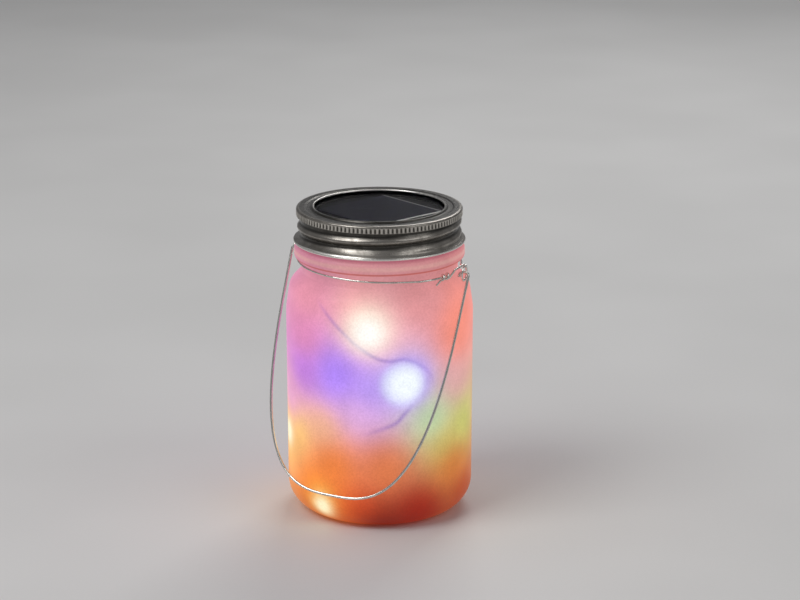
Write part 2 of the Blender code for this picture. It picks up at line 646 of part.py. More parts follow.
def make_leads(group):
    """The short wires between the cell, the battery, the board and the light string."""
    red = finish("lead_red", (0.55, 0.03, 0.02), 0.45)
    black = finish("lead_black", (0.02, 0.02, 0.02), 0.45)
    x, y, z = BOARD_PLACE
    top = z + BOARD_SIZE[2] / 2 + GAP + LEAD_RADIUS
    backing = RECESS_Z - GAP
    under = z - BOARD_SIZE[2] / 2 - GAP
    half = BATTERY_LENGTH / 2
    routes = {
        "cell_lead_red": (red, [(3 * MM, -4 * MM, backing), (3 * MM, -4 * MM, 131 * MM),
                                (2 * MM, -6 * MM, 128.5 * MM), (1 * MM, -9 * MM, top)]),
        "cell_lead_black": (black, [(7 * MM, -4 * MM, backing), (7 * MM, -4 * MM, 131 * MM),
                                    (8 * MM, -6 * MM, 128.5 * MM), (9 * MM, -9 * MM, top)]),
        "battery_lead_red": (red, [(half + 2.6 * MM, BATTERY_Y, BATTERY_Z + 2 * MM),
                                   (half + 4 * MM, 3 * MM, BATTERY_Z + 4 * MM),
                                   (half + 3.5 * MM, -3 * MM, 127.5 * MM), (15 * MM, -9 * MM, top)]),
        "battery_lead_black": (black, [(-half - 4.3 * MM, BATTERY_Y, BATTERY_Z + 2 * MM),
                                       (-half - 5 * MM, 3 * MM, BATTERY_Z + 4 * MM),
                                       (-half + 1 * MM, -4 * MM, 128.4 * MM), (-4 * MM, -9 * MM, top)]),
        "string_lead": (black, [(x - 9 * MM, y + 2 * MM, under), (x - 10 * MM, y + 1 * MM, under - 3 * MM),
                                (EXIT_PLACE[0] + 1 * MM, EXIT_PLACE[1] + 1 * MM, 121 * MM),
                                (*EXIT_PLACE, HOUSING_FLOOR_Z + MM + 2 * GAP)]),
    }
    for name, (colour, knots) in routes.items():
        place(wire(smooth_path(knots, 10), LEAD_RADIUS), name, group, colour)


def string_points():
    knots = [(*[c * MM for c in polar(r, math.radians(a))], z * MM) for a, r, z in STRING_ROUTE]
    return smooth_path(knots, STRING_POINTS)


def make_lights(group):
    """The string of lights that leans on the inside of the glass, and its drops of clear resin."""
    points = string_points()
    copper = finish("string_wire", (0.75, 0.75, 0.72), 0.35, 0.6)
    place(wire(points, STRING_RADIUS), "light_string", group, copper)
    run = np.concatenate([[0], np.cumsum(np.linalg.norm(np.diff(points, axis=0), axis=1))])
    resin = finish("light_resin", (1.0, 0.9, 0.75), 0.2)
    aside = LIGHT_RADIUS + STRING_RADIUS + GAP
    for i in range(LIGHT_COUNT):
        at = FIRST_LIGHT + LIGHT_PITCH * i
        middle, ahead = (Vector([np.interp(a, run, points[:, k]) for k in range(3)])
                         for a in (at, at + STRING_RADIUS))
        along = (ahead - middle).normalized()
        inward = -Vector((middle.x, middle.y, 0))
        inward = (inward - along * inward.dot(along)).normalized()
        mesh = bpy.data.meshes.new("light")
        work = bmesh.new()
        bmesh.ops.create_uvsphere(work, u_segments=8, v_segments=5, radius=LIGHT_RADIUS)
        work.to_mesh(mesh)
        work.free()
        light = bpy.data.objects.new("light", mesh)
        light.location = middle + inward * aside
        place(light, f"light_{i + 1:02d}", group, resin)


def main():
    empty_scene()
    lantern = new_collection("mason_jar_lantern")
    tools = new_collection("cutters")
    axis = bpy.data.objects.new("handle_axis", None)
    axis.location = (0, 0, NECK_WIRE_Z)
    axis.rotation_euler = (0, NECK_TILT, 0)
    lantern.objects.link(axis)
    make_jar(lantern)
    make_neck_wire(lantern, axis)
    make_handle(lantern, axis)
    make_band(lantern)
    make_tray(lantern, tools)
    make_panel(lantern)
    make_gasket(lantern)
    make_housing(lantern, tools)
    make_screws(lantern, tools)
    make_battery(lantern, tools)
    make_electronics(lantern)
    make_switch(lantern)
    make_exit(lantern)
    make_leads(lantern)
    make_lights(lantern)


main()
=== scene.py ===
"""The looks of the solar mason jar lantern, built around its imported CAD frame.

Metres, +Z up, in the frame's own axes: Z is the jar's axis and the handle's axis runs along X.
Outlines and routes are written in mm and degrees, as in part.py.
"""
import math

import bmesh
import bpy
import numpy as np
from mathutils import Matrix, Vector


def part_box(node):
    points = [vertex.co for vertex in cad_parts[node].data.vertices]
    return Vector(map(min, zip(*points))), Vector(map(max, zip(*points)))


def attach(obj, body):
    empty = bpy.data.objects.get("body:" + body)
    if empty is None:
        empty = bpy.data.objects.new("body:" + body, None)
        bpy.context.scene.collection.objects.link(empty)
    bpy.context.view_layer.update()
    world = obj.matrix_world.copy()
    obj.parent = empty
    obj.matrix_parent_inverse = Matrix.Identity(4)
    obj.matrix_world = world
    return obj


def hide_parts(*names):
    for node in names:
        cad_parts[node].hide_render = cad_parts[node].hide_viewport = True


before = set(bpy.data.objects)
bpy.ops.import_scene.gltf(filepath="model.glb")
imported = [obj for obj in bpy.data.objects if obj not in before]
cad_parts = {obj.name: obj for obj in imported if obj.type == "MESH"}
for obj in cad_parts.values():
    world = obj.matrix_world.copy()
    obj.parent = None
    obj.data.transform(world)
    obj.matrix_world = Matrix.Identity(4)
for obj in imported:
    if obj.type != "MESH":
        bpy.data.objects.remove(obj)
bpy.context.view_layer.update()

MM = 0.001

# Jar and thread
JAR_RADIUS = 41.3
FOOT_RADIUS = 41
GLASS = 3.0
FLOOR_Z = 4.5
WALL_TOP_Z = 92
WALL_TOP_BEND = 22
SHOULDER_RADIUS = 39.6
SHOULDER_Z = 103.4
NECK_RADIUS = 34.5
NECK_LOW_Z = 108.6
NECK_HIGH_Z = 114.6
BEAD_RADIUS = 37.5
BEAD_LOW_Z = 115.2
BEAD_HIGH_Z = 121
INNER_SHOULDER_RADIUS = 36.9
INNER_SHOULDER_Z = 101.7
INNER_NECK_RADIUS = 31.3
INNER_NECK_LOW_Z = 107.6
INNER_NECK_HIGH_Z = 119
MOUTH_LOW_Z = 121.5
RIM_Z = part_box("glass_jar")[1].z / MM
FINISH_RADIUS = 33.2
MOUTH_RADIUS = 29.8
PITCH = 5.08
THREAD_Z = 129.75
THREAD_ANGLE = math.radians(-65)
THREAD_FADE = math.radians(25)
JAR_THREAD = (math.radians(-365), math.radians(95))
BAND_THREAD = (math.radians(-440), math.radians(215))
JAR_STEPS = 330
JAR_ROW = 0.8

# Screw band
OPENING_RADIUS = 28.6
BAND_TOP_Z = 137.0
KNURL_RADIUS = 36.5
KNURL_LOW_Z = 133.5
KNURL_HIGH_Z = 136.2
KNURL_RIBS = 122
KNURL_DEPTH = 0.5
KNURL_STEPS = 5
BAND_RADIUS = 34.7
FLARE_RADIUS = 37.8
FLARE_Z = 122.4
SHEET = 0.5

# Wires
NECK_WIRE_Z = 112.8
NECK_TILT = math.radians(2.0)
NECK_WIRE_RADIUS = 0.5
RING_RADIUS = 36.0
BACK_ARC = (17, 163)
FRONT_ARC = (197, 307)
TIED_ARC = (323, 348)
EYE_RADIUS = 3.4
EYE_X = 39.95
CLOSURE_OUT = 1.3
CLOSURE_START = -20
CLOSURE_END = -11
WIRE_TONE = (0.82, 0.8, 0.75)
WIRE_STEP = 1.0
HANDLE_WIRE_RADIUS = 0.65
HANDLE_DROP = 105.7
HANDLE_HALF_WIDTH = 42.45
HANDLE_REST = math.radians(23.6)
HANDLE_BOTTOM_POWER = 0.68
HANDLE_SIDE_POWER = 0.66
HOOK_X = 42.7
HOOK_TAIL_X = 38.5
HOOK_BEND = 1.3

# Light string
STRING_RADIUS = 0.4
DROP_RADIUS = 1.6

# Solar cell
CELL_SIDE = 39.0
CELL_ANGLE = math.radians(-24)
FINGER_PITCH = 1.3
BUSBAR_OUT = 9.5
WINDOW_RADIUS = 31.0
WINDOW_TOP_Z = 136.1
WINDOW_LOW_Z = 135.3

# The string's route as angle in degrees, distance from the jar's axis and height, both in mm.
STRING_ROUTE = [
    (-119, 18.4, 109.3), (-118, 20, 105.5), (-114, 26, 102), (-107, 31.5, 98.5), (-99, 35, 95.5),
    (-89, 37, 90.5), (-78, 37.2, 85.5), (-67, 37.2, 81), (-57, 37.2, 79), (-47, 37.2, 77.5),
    (-38, 37.2, 74.5), (-32, 37.2, 69), (-31, 37.2, 62), (-37, 37.2, 56.5), (-46, 37.2, 53.5),
    (-56, 37.2, 50), (-68, 37.2, 46.5), (-84, 37.2, 43), (-100, 37.2, 41), (-118, 37.2, 39),
    (-136, 37.2, 37), (-148, 37.2, 33), (-154, 36.8, 26), (-150, 35, 17), (-139, 32.6, 10.5),
    (-124, 31, 7.4), (-107, 30.5, 6.6), (-90, 30.5, 6.6), (-72, 30.5, 6.6), (-54, 31, 7.2),
    (-37, 33, 10), (-23, 35.6, 17), (-14, 37, 26), (-12, 37.2, 37), (-11, 37.2, 48),
    (-6, 37.2, 59), (1, 37.2, 70), (12, 37.2, 79), (32, 37.2, 81), (56, 37.2, 77),
    (80, 37.2, 73), (105, 37.2, 69.5), (130, 37.2, 66.5), (155, 37.2, 64), (180, 37.2, 62),
    (196, 37.2, 61),
]

# Each light's colour (sRGB), from the lid to the free end.
LIGHTS = [(240, 120, 135), (255, 190, 160), (150, 125, 255), (225, 160, 220), (255, 180, 75),
          (255, 118, 35), (175, 42, 16), (180, 215, 115), (240, 122, 105), (235, 110, 150),
          (150, 120, 245), (185, 110, 225)]

# Where the lights' colours land on the frosting: colour, share, angle and height. On the side that the
# photograph shows they are matched to its colours; round the back they are invented.
GLOWS = [
    ((232, 150, 168), 1.2, -118, 103), ((240, 160, 162), 0.8, -80, 106),
    ((222, 146, 148), 1.0, -40, 105), ((226, 138, 182), 1.1, -118, 86), ((255, 195, 185), 1.3, -72, 91),
    ((244, 142, 122), 1.5, -10, 88), ((188, 118, 228), 0.8, -118, 70), ((168, 130, 255), 1.5, -92, 71),
    ((176, 146, 255), 0.8, -72, 65), ((205, 195, 255), 1.2, -50, 68), ((225, 165, 170), 0.6, -12, 64),
    ((228, 160, 210), 0.9, -136, 54), ((226, 176, 224), 0.8, -78, 55), ((180, 214, 168), 1.0, -31, 50),
    ((190, 198, 104), 1.0, -4, 44), ((250, 190, 145), 0.8, -102, 46), ((254, 206, 108), 0.7, -124, 41),
    ((206, 190, 92), 0.7, -22, 38), ((255, 195, 100), 1.3, -144, 36), ((238, 126, 46), 1.5, -96, 30),
    ((222, 120, 66), 1.2, -62, 30), ((208, 114, 44), 1.3, -14, 27), ((255, 140, 42), 1.3, -108, 17),
    ((242, 98, 34), 0.9, -94, 9), ((208, 58, 20), 0.6, -76, 11), ((162, 24, 8), 1.8, -40, 9),
    ((122, 8, 5), 1.3, -64, 2), ((182, 66, 28), 0.9, -4, 12), ((225, 120, 100), 0.8, 50, 84),
    ((200, 130, 110), 0.8, 40, 40), ((150, 120, 245), 1.2, 105, 66), ((235, 110, 150), 0.9, 80, 95),
    ((185, 110, 225), 1.2, 165, 62), ((240, 140, 60), 1.0, 110, 20), ((230, 150, 165), 0.8, 160, 100),
    ((255, 150, 60), 1.0, -165, 14),
]
GLOW_REACH = 11.0

# Bright spots where a beam meets the glass: colour, angle, height, radius, edge sharpness, peak.
SPOTS = [
    ((255, 246, 214), -73, 94, 9.0, 1.0, 0.75),
    ((255, 252, 246), -72, 91, 7.6, 1.0, 1.15),
    ((160, 134, 246), -48, 69, 11.6, 2.2, 0.56),
    ((222, 226, 255), -51, 68, 9.6, 3.0, 0.95),
    ((242, 249, 255), -49, 68, 7.0, 1.5, 1.15),
    ((255, 248, 210), -143, 36.5, 5.6, 1.0, 1.3),
    ((255, 196, 92), -104, 12, 7.0, 1.0, 0.8),
    ((255, 240, 196), -103.5, 9.6, 4.4, 1.0, 1.3),
]

# Painted highlight and painted shade round the neck: shade beneath the band's flare, a highlight on the
# bead and shade in the groove below it: colour, height, half width, share.
NECK_HIGHLIGHT_AND_SHADE = [
    ((172, 78, 104), 122.0, 2.2, 0.75), ((244, 190, 180), 118.2, 1.5, 0.5),
    ((196, 84, 70), 115.6, 0.8, 0.7),
]

# Where the string's shadow crosses the glass: angle, height, darkness.
SHADOWS = [
    [(-108, 103, 0.0), (-99, 97.5, 0.5), (-89, 91.5, 0.8), (-78, 85, 1.0), (-67, 80, 1.0),
     (-58, 78.5, 0.9), (-50, 79, 0.9), (-40, 75.5, 0.7), (-33, 71, 0.3), (-29, 64, 0.0)],
    [(-45, 58, 0.3), (-50, 54.4, 0.9), (-55, 50.6, 0.9), (-65, 47.6, 0.5), (-77, 44.6, 0.0)],
]
SHADOW_WIDTH = 0.9
SHADOW_TONE = (120, 80, 180)
SHADOW_SHARE = 0.6

# The glow fades towards the foot, below FOOT_GLOW_Z, and up the neck, over NECK_GLOW_Z.
FOOT_GLOW_Z = 22
FOOT_GLOW = 0.62
NECK_GLOW_Z = (100, 117)
NECK_GLOW = 0.72

# The photograph's camera: degrees right of the handle's front, degrees down, degrees turned aside,
# metres from the jar's axis and above its base, and the lens in mm on a 36 mm sensor.
CAMERA_SIDE = 25
CAMERA_DOWN = 16.18
CAMERA_TURN = 0.47
CAMERA_DISTANCE = 1.1
CAMERA_HEIGHT = 0.4133
CAMERA_LENS = 116.64


# ---------------------------------------------------------------- shapes

def rounded(corners, step=math.radians(9)):
    """An outline through (x, z, radius) corners, each rounded with an arc of its radius."""
    outline = []
    for i, (x, z, radius) in enumerate(corners):
        corner = Vector((x, z))
        if radius == 0 or i in (0, len(corners) - 1):
            outline.append(corner)
            continue
        before = (Vector(corners[i - 1][:2]) - corner).normalized()
        after = (Vector(corners[i + 1][:2]) - corner).normalized()
        turn = math.pi - before.angle(after)
        reach = radius * math.tan(turn / 2)
        centre = corner + (before + after).normalized() * math.hypot(reach, radius)
        start = corner + before * reach - centre
        count = max(2, round(turn / step))
        sign = 1 if start.x * (corner.y - centre.y) - start.y * (corner.x - centre.x) > 0 else -1
        for k in range(count + 1):
            outline.append(centre + Matrix.Rotation(sign * turn * k / count, 2) @ start)
    return np.array([tuple(p) for p in outline])


def dense(outline, longest):
    """The outline with its long stretches divided."""
    points = [outline[0]]
    for a, b in zip(outline, outline[1:]):
        parts = max(1, math.ceil(np.linalg.norm(b - a) / longest))
        points += [a + (b - a) * k / parts for k in range(1, parts + 1)]
    return np.array(points)


def smooth_path(knots, count):
    """Evenly spaced points along a Catmull-Rom curve through the knots."""
    knots = np.array(knots, float)
    ends = np.vstack([2 * knots[0] - knots[1], knots, 2 * knots[-1] - knots[-2]])
    fine = []
    for a, b, c, d in zip(ends, ends[1:], ends[2:], ends[3:]):
        for t in np.linspace(0, 1, 24, endpoint=False):
            fine.append(0.5 * (2 * b + (c - a) * t + (2 * a - 5 * b + 4 * c - d) * t ** 2
                               + (3 * b - a - 3 * c + d) * t ** 3))
    fine = np.array(fine + [knots[-1]])
    run = np.concatenate([[0], np.cumsum(np.linalg.norm(np.diff(fine, axis=0), axis=1))])
    even = np.linspace(0, run[-1], count)
    return np.stack([np.interp(even, run, fine[:, i]) for i in range(fine.shape[1])], axis=1)


def thread_bump(angle, z, first, last, half_width, height):
    """How far a helical rib stands out at angles and heights, between two helix angles."""
    turn = np.round((z - THREAD_Z) / PITCH - (angle - THREAD_ANGLE) / (2 * math.pi))
    along = angle - THREAD_ANGLE + 2 * math.pi * turn
    off = z - THREAD_Z - PITCH * along / (2 * math.pi)
    ends = np.clip(np.minimum(along - first, last - along) / THREAD_FADE, 0, 1)
    rib = np.where(abs(off) < half_width, np.cos(math.pi * off / (2 * half_width)) ** 2, 0)
    return height * ends * rib


def turned(name, outline, steps, push=None, closed=False):
    """A surface turned about Z from an (r, z) outline in mm; push(angle, r, z) moves it outwards."""
    angle = np.linspace(-math.pi, math.pi, steps, endpoint=False)[None, :]
    r, z = (outline[:, i][:, None] + 0 * angle for i in (0, 1))
    if push:
        r = r + push(angle + 0 * r, r, z)
    grid = np.stack([r * np.cos(angle), r * np.sin(angle), z], axis=2)
    rows = len(outline)
    last = rows if closed else rows - 1
    faces = []
    for i in range(last):
        low, high = i * steps, (i + 1) % rows * steps
        for k in range(steps):
            nxt = (k + 1) % steps
            faces.append((low + k, low + nxt, high + nxt, high + k))
    mesh = bpy.data.meshes.new(name)
    mesh.from_pydata((grid.reshape(-1, 3) * MM).tolist(), [], faces)
    body = bpy.data.objects.new(name, mesh)
    bpy.context.scene.collection.objects.link(body)
    weld(mesh)
    mesh.shade_smooth()
    return body


def weld(mesh):
    """Joins the points that meet on the axis and turns the faces out."""
    work = bmesh.new()
    work.from_mesh(mesh)
    bmesh.ops.remove_doubles(work, verts=work.verts, dist=0.01 * MM)
    bmesh.ops.recalc_face_normals(work, faces=work.faces)
    work.to_mesh(mesh)
    work.free()


def tube(name, points, radius, smoothness=5):
    """A round wire along points in mm, as a curve with filled ends."""
    curve = bpy.data.curves.new(name, "CURVE")
    curve.dimensions = "3D"
    curve.bevel_depth = radius * MM
    curve.bevel_resolution = smoothness
    curve.use_fill_caps = True
    spline = curve.splines.new("POLY")
    spline.points.add(len(points) - 1)
    for point, at in zip(spline.points, points):
        point.co = (at[0] * MM, at[1] * MM, at[2] * MM, 1.0)
    body = bpy.data.objects.new(name, curve)
    bpy.context.scene.collection.objects.link(body)
    return body


def around(angle, radius, z):
    """The point at an angle in degrees, a radius and a height."""
    return (radius * math.cos(math.radians(angle)), radius * math.sin(math.radians(angle)), z)


# ---------------------------------------------------------------- materials

def colour(red, green, blue):
    """A linear colour from sRGB parts of 255."""
    parts = [c / 255 for c in (red, green, blue)]
    return tuple(c / 12.92 if c <= 0.04045 else ((c + 0.055) / 1.055) ** 2.4 for c in parts)


class Look:
    """One material, and short calls that add its nodes. A value may be a number or another socket."""

    def __init__(self, name, **sockets):
        self.material = bpy.data.materials.new(name)
        self.material.use_nodes = True
        self.tree = self.material.node_tree
        self.shader = self.tree.nodes["Principled BSDF"]
        self.place = self.tree.nodes.new("ShaderNodeTexCoord").outputs["Object"]
        for socket, value in sockets.items():
            self.set(socket.replace("_", " "), value)

    def fill(self, socket, value):
        if isinstance(value, bpy.types.NodeSocket):
            self.tree.links.new(value, socket)
        else:
            socket.default_value = value

    def set(self, socket, value):
        if isinstance(value, tuple) and len(value) == 3:
            value = (*value, 1.0)
        self.fill(self.shader.inputs[socket], value)

    def math(self, operation, *values, clamp=False):
        made = self.tree.nodes.new("ShaderNodeMath")
        made.operation = operation
        made.use_clamp = clamp
        for socket, value in zip(made.inputs, values):
            self.fill(socket, value)
        return made.outputs[0]

    def vector(self, operation, *values, scale=None):
        made = self.tree.nodes.new("ShaderNodeVectorMath")
        made.operation = operation
        for socket, value in zip(made.inputs, values):
            self.fill(socket, value)
        if scale is not None:
            self.fill(made.inputs["Scale"], scale)
        return made.outputs["Value" if operation in ("DOT_PRODUCT", "LENGTH") else "Vector"]

    def split(self, vector):
        made = self.tree.nodes.new("ShaderNodeSeparateXYZ")
        self.fill(made.inputs[0], vector)
        return made.outputs

    def join(self, x, y, z):
        made = self.tree.nodes.new("ShaderNodeCombineXYZ")
        for socket, value in zip(made.inputs, (x, y, z)):
            self.fill(socket, value)
        return made.outputs[0]

    def noise(self, size, detail=2.0, place=None, roughness=0.5):
        """Cloudy noise whose features are about size mm across, from 0 to 1."""
        made = self.tree.nodes.new("ShaderNodeTexNoise")
        self.fill(made.inputs["Vector"], self.place if place is None else place)
        made.inputs["Scale"].default_value = 1 / (size * MM)
        made.inputs["Detail"].default_value = detail
        made.inputs["Roughness"].default_value = roughness
        return made.outputs["Fac"]

    def cells(self, size, feature="DISTANCE_TO_EDGE", place=None):
        made = self.tree.nodes.new("ShaderNodeTexVoronoi")
        made.feature = feature
        self.fill(made.inputs["Vector"], self.place if place is None else place)
        made.inputs["Scale"].default_value = 1 / (size * MM)
        return made.outputs["Distance"]

    def mix(self, factor, first, second, blend="MIX"):
        made = self.tree.nodes.new("ShaderNodeMix")
        made.data_type = "RGBA"
        made.blend_type = blend
        inputs = [s for s in made.inputs if s.type == "RGBA"]
        self.fill(made.inputs[0], factor)
        for socket, value in zip(inputs, (first, second)):
            if isinstance(value, tuple) and len(value) == 3:
                value = (*value, 1.0)
            self.fill(socket, value)
        return [s for s in made.outputs if s.type == "RGBA"][0]

    def range(self, value, low, high, to_low=0.0, to_high=1.0):
        """A value from low to high, moved smoothly to another range and held at its ends."""
        made = self.tree.nodes.new("ShaderNodeMapRange")
        made.interpolation_type = "SMOOTHSTEP"
        for socket, number in zip(made.inputs, (value, low, high, to_low, to_high)):
            self.fill(socket, number)
        return made.outputs[0]

    def attribute(self, name):
        made = self.tree.nodes.new("ShaderNodeAttribute")
        made.attribute_name = name
        return made.outputs["Fac"]

    def bump(self, height, depth, strength=1.0):
        """Fine relief: depth in mm is the height's full range."""
        made = self.tree.nodes.new("ShaderNodeBump")
        made.inputs["Strength"].default_value = strength
        made.inputs["Distance"].default_value = depth * MM
        self.fill(made.inputs["Height"], height)
        self.fill(self.shader.inputs["Normal"], made.outputs[0])


def plastic(name, tone, roughness=0.45, grain=0.35, shine=0.5):
    """Moulded plastic: fine spark-eroded grain and faint unevenness."""
    look = Look(name, Specular_IOR_Level=shine)
    cloud = look.noise(9, 3)
    speck = look.noise(grain, 2)
    lighter = tuple(min(1.0, c * 1.25 + 0.006) for c in tone)
    look.set("Base Color", look.mix(look.range(cloud, 0.3, 0.7), tone, lighter))
    look.set("Roughness", look.range(speck, 0.3, 0.7, roughness - 0.06, roughness + 0.1))
    look.bump(speck, 0.04, 0.5)
    return look.material


def metal(name, tone, roughness=0.3, grain=0.5, stain=0.75):
    """Drawn or plated metal: fine scratches, dull patches and uneven gloss."""
    look = Look(name, Metallic=1.0)
    patch = look.noise(4, 4, roughness=0.6)
    fine = look.noise(grain, 3)
    dull = tuple(c * stain for c in tone)
    look.set("Base Color", look.mix(look.range(patch, 0.35, 0.7), tone, dull))
    look.set("Roughness", look.math("ADD", look.range(patch, 0.3, 0.75, roughness - 0.05, roughness + 0.1),
                                    look.range(fine, 0.3, 0.7, -0.04, 0.05)))
    look.bump(fine, 0.02, 0.4)
    return look.material


def rubber(name, tone):
    """Soft silicone: matt, faintly mottled, with a little sheen from dust."""
    look = Look(name)
    cloud = look.noise(3, 3)
    look.set("Base Color", look.mix(look.range(cloud, 0.3, 0.7), tone, tuple(c * 0.86 for c in tone)))
    look.set("Roughness", look.range(look.noise(0.8, 2), 0.3, 0.7, 0.55, 0.72))
    look.set("Sheen Weight", 0.2)
    look.bump(look.noise(0.3, 2), 0.03, 0.5)
    return look.material


def glow(look):
    """The lights' colours on the frosting: each point takes the mean of the glows near it."""
    total, weights = None, None
    for tone, share, angle, height in GLOWS:
        offset = look.vector("SUBTRACT", look.place, glass_point(angle, height))
        square = look.vector("DOT_PRODUCT", offset, offset)
        near = look.math("MULTIPLY_ADD", square, 1 / (GLOW_REACH * MM) ** 2, 1.0)
        weight = look.math("DIVIDE", share, look.math("POWER", near, 2.0))
        part = look.vector("SCALE", colour(*tone), scale=weight)
        total = part if total is None else look.vector("ADD", total, part)
        weights = weight if weights is None else look.math("ADD", weights, weight)
    return look.vector("SCALE", total, scale=look.math("DIVIDE", 1.0, weights))


def glass_point(angle, height):
    """The point of the jar's outer face at an angle and a height, in metres."""
    return tuple(c * MM for c in around(angle, JAR_RADIUS if height > 15 else JAR_RADIUS - 2, height))


def spot(look, angle, height, radius, sharpness, peak):
    """How much of a bright spot a point shows, from 0 to 1."""
    offset = look.vector("SUBTRACT", look.place, glass_point(angle, height))
    square = look.math("MULTIPLY", look.vector("DOT_PRODUCT", offset, offset), 1 / (radius * MM) ** 2)
    fall = look.math("EXPONENT", look.math("MULTIPLY", look.math("POWER", square, sharpness), -1.0))
    return look.math("MULTIPLY", fall, peak, clamp=True)


def frosted_glass():
    """Sandblasted glass with the look of being lit from inside: a painted glow that the view and the
    lamps don't change, with the string's faint shadow. The glass itself is opaque."""
    look = Look("frosted_glass", IOR=1.5, Specular_IOR_Level=0.25, Emission_Strength=1.0)
    z = look.split(look.place)[2]
    tone = glow(look)
    shade = look.math("MULTIPLY", look.attribute("string_shadow"), SHADOW_SHARE)
    tone = look.mix(shade, tone, colour(*SHADOW_TONE))
    # Painted highlight on the bead, and painted shade beneath the flare and in the groove below the bead.
    for ring_tone, middle, reach, share in NECK_HIGHLIGHT_AND_SHADE:
        off = look.math("ABSOLUTE", look.math("SUBTRACT", z, middle * MM))
        near = look.range(off, 0.2 * reach * MM, reach * MM, share, 0.0)
        tone = look.mix(near, tone, colour(*ring_tone))
    neck_low, neck_high = (height * MM for height in NECK_GLOW_Z)
    dim = look.math("MULTIPLY", look.range(z, 0.0, FOOT_GLOW_Z * MM, FOOT_GLOW, 1.0),
                    look.range(z, neck_low, neck_high, 1.0, NECK_GLOW))
    tone = look.vector("SCALE", tone, scale=dim)
    for core, *form in SPOTS:
        tone = look.mix(spot(look, *form), tone, colour(*core))
    cloud = look.range(look.noise(14, 3), 0.3, 0.7, 0.93, 1.04)
    frost = look.range(look.noise(0.9, 3, roughness=0.7), 0.3, 0.7, 0.92, 1.06)
    lit = look.vector("SCALE", tone, scale=look.math("MULTIPLY", cloud, frost))
    look.set("Emission Color", lit)
    look.set("Base Color", look.vector("SCALE", lit, scale=0.05))
    look.set("Roughness", look.range(look.noise(0.9, 3), 0.3, 0.7, 0.36, 0.5))
    look.bump(look.noise(0.5, 3, roughness=0.7), 0.05, 0.5)
    return look.material


def band_steel():
    """Rolled pewter-grey steel, brushed round the axis, with painted shade in its hollows and painted
    highlights on its knurl ridges and edges.
    """
    look = Look("band_steel", Metallic=1.0)
    x, y, z = look.split(look.place)
    angle = look.math("ARCTAN2", y, x)
    square = look.math("ADD", look.math("MULTIPLY", x, x), look.math("MULTIPLY", y, y))
    radius = look.math("SQRT", square)
    turned_place = look.join(look.math("MULTIPLY", angle, 1.2 * MM), radius, z)
    brush = look.noise(0.25, 3, turned_place, 0.6)
    patch = look.noise(5, 4, roughness=0.65)
    worn = look.range(look.math("ADD", patch, look.math("MULTIPLY", brush, 0.4)), 0.45, 1.0)
    tone = look.mix(worn, (0.4, 0.375, 0.34), (0.2, 0.185, 0.165))
    in_knurl = look.math("MULTIPLY", look.range(z, (KNURL_LOW_Z + 0.2) * MM, (KNURL_LOW_Z + 0.5) * MM),
                         look.range(z, (KNURL_HIGH_Z - 0.5) * MM, KNURL_HIGH_Z * MM, 1.0, 0.0))
    # Painted shade in the knurl's valleys.
    valley = look.range(radius, (KNURL_RADIUS - KNURL_DEPTH) * MM, (KNURL_RADIUS - 0.08) * MM, 1.0, 0.0)
    # Painted highlight along the knurl's ridges.
    crest_highlight = look.range(radius, (KNURL_RADIUS - 0.15) * MM, (KNURL_RADIUS - 0.03) * MM)
    tone = look.mix(look.math("MULTIPLY", crest_highlight, in_knurl), tone, (0.62, 0.59, 0.54))
    # Painted shade in the hollow just above the flare.
    inner = look.range(radius, (BAND_RADIUS + 0.1) * MM, (BAND_RADIUS + 0.9) * MM, 1.0, 0.0)
    flare_hollow_shade = look.math("MULTIPLY", inner, look.range(z, (FLARE_Z + 1.6) * MM, (FLARE_Z + 2.6) * MM))
    # Painted shade in the groove beneath the knurl.
    under_knurl_shade = look.math("MULTIPLY", look.range(z, (KNURL_LOW_Z - 1.2) * MM, (KNURL_LOW_Z - 0.4) * MM),
                      look.range(z, KNURL_LOW_Z * MM, (KNURL_LOW_Z + 0.2) * MM, 1.0, 0.0))
    # Painted shade in the sunken ring on the top, between the curled opening and the outer flat.
    channel = look.math("MULTIPLY", look.range(radius, 29.9 * MM, 30.3 * MM),
                        look.range(radius, 32.2 * MM, 32.7 * MM, 1.0, 0.0))
    # All the painted shade together, mixed in nearly black.
    painted_shade = look.math("MAXIMUM", look.math("MULTIPLY", valley, in_knurl),
                       look.math("MULTIPLY", flare_hollow_shade, 0.85))
    painted_shade = look.math("MAXIMUM", look.math("MAXIMUM", painted_shade, under_knurl_shade), look.math("MULTIPLY", channel, 0.6))
    tone = look.mix(look.math("MULTIPLY", painted_shade, 0.94), tone, (0.01, 0.01, 0.009))
    # Painted highlight along the flare's rim and the lip of the curled opening.
    edge_highlight = look.math("MAXIMUM", look.range(radius, (FLARE_RADIUS - 0.3) * MM, (FLARE_RADIUS - 0.1) * MM),
                       look.range(radius, OPENING_RADIUS * MM, (OPENING_RADIUS + 0.7) * MM, 1.0, 0.0))
    tone = look.mix(edge_highlight, tone, (0.9, 0.88, 0.83))
    look.set("Base Color", tone)
    look.set("Roughness", look.math("ADD", look.range(brush, 0.3, 0.7, 0.2, 0.32),
                                    look.range(patch, 0.3, 0.7, 0.0, 0.1)))
    look.bump(brush, 0.03, 0.35)
    return look.material


